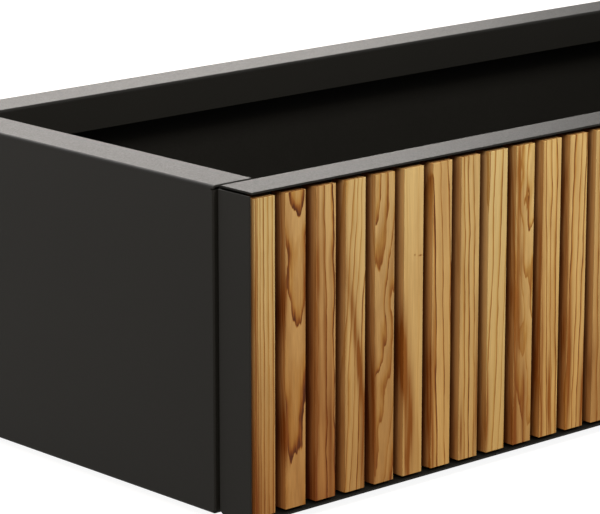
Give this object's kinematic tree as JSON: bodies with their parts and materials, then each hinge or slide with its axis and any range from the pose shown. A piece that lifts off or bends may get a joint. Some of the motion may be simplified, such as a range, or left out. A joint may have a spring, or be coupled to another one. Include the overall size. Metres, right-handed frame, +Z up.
{
  "type": "planter box",
  "caption": "Long low planter box of folded coated sheet steel, with wide folded rims, a front tray of upright wooden slats, a drained floor pan and low feet.",
  "frame": {"origin": "on the ground under the middle of the planter", "axes": "+X along the length to the viewer's right, -Y out of the slatted front, +Z up"},
  "size_m": [1.21, 0.499, 0.324],
  "materials": {
    "coated_steel": "fine-textured powder coat, warm black",
    "slat_wood": "planed and oiled softwood, straight and cathedral grain",
    "batten_wood": "sawn softwood, stained black",
    "foot_rubber": "moulded, matt",
    "zinc_plate": "bright zinc plate"
  },
  "bodies": {
    "root": {"end_panel_left": "coated_steel", "end_panel_right": "coated_steel", "back_panel": "coated_steel", "front_tray": "coated_steel", "base_pan": "coated_steel", "bearer_left": "coated_steel", "bearer_right": "coated_steel", "corner_angle_left": "coated_steel", "foot_front_left": "foot_rubber", "cap_nut_front_left_lower": "zinc_plate", "cap_nut_front_left_upper": "zinc_plate", "corner_angle_right": "coated_steel", "foot_front_right": "foot_rubber", "cap_nut_front_right_lower": "zinc_plate", "cap_nut_front_right_upper": "zinc_plate", "foot_rear_left": "foot_rubber", "cap_nut_rear_left_lower": "zinc_plate", "cap_nut_rear_left_upper": "zinc_plate", "foot_rear_right": "foot_rubber", "cap_nut_rear_right_lower": "zinc_plate", "cap_nut_rear_right_upper": "zinc_plate", "slat_01": "slat_wood", "slat_02": "slat_wood", "slat_03": "slat_wood", "slat_04": "slat_wood", "slat_05": "slat_wood", "slat_06": "slat_wood", "slat_07": "slat_wood", "slat_08": "slat_wood", "slat_09": "slat_wood", "slat_10": "slat_wood", "slat_11": "slat_wood", "slat_12": "slat_wood", "slat_13": "slat_wood", "slat_14": "slat_wood", "slat_15": "slat_wood", "slat_16": "slat_wood", "slat_17": "slat_wood", "slat_18": "slat_wood", "slat_19": "slat_wood", "slat_20": "slat_wood", "slat_21": "slat_wood", "slat_22": "slat_wood", "slat_23": "slat_wood", "slat_24": "slat_wood", "slat_25": "slat_wood", "slat_26": "slat_wood", "slat_27": "slat_wood", "slat_28": "slat_wood", "slat_29": "slat_wood", "slat_30": "slat_wood", "slat_31": "slat_wood", "slat_32": "slat_wood", "batten_lower": "batten_wood", "batten_upper": "batten_wood"}
  },
  "joints": []
}
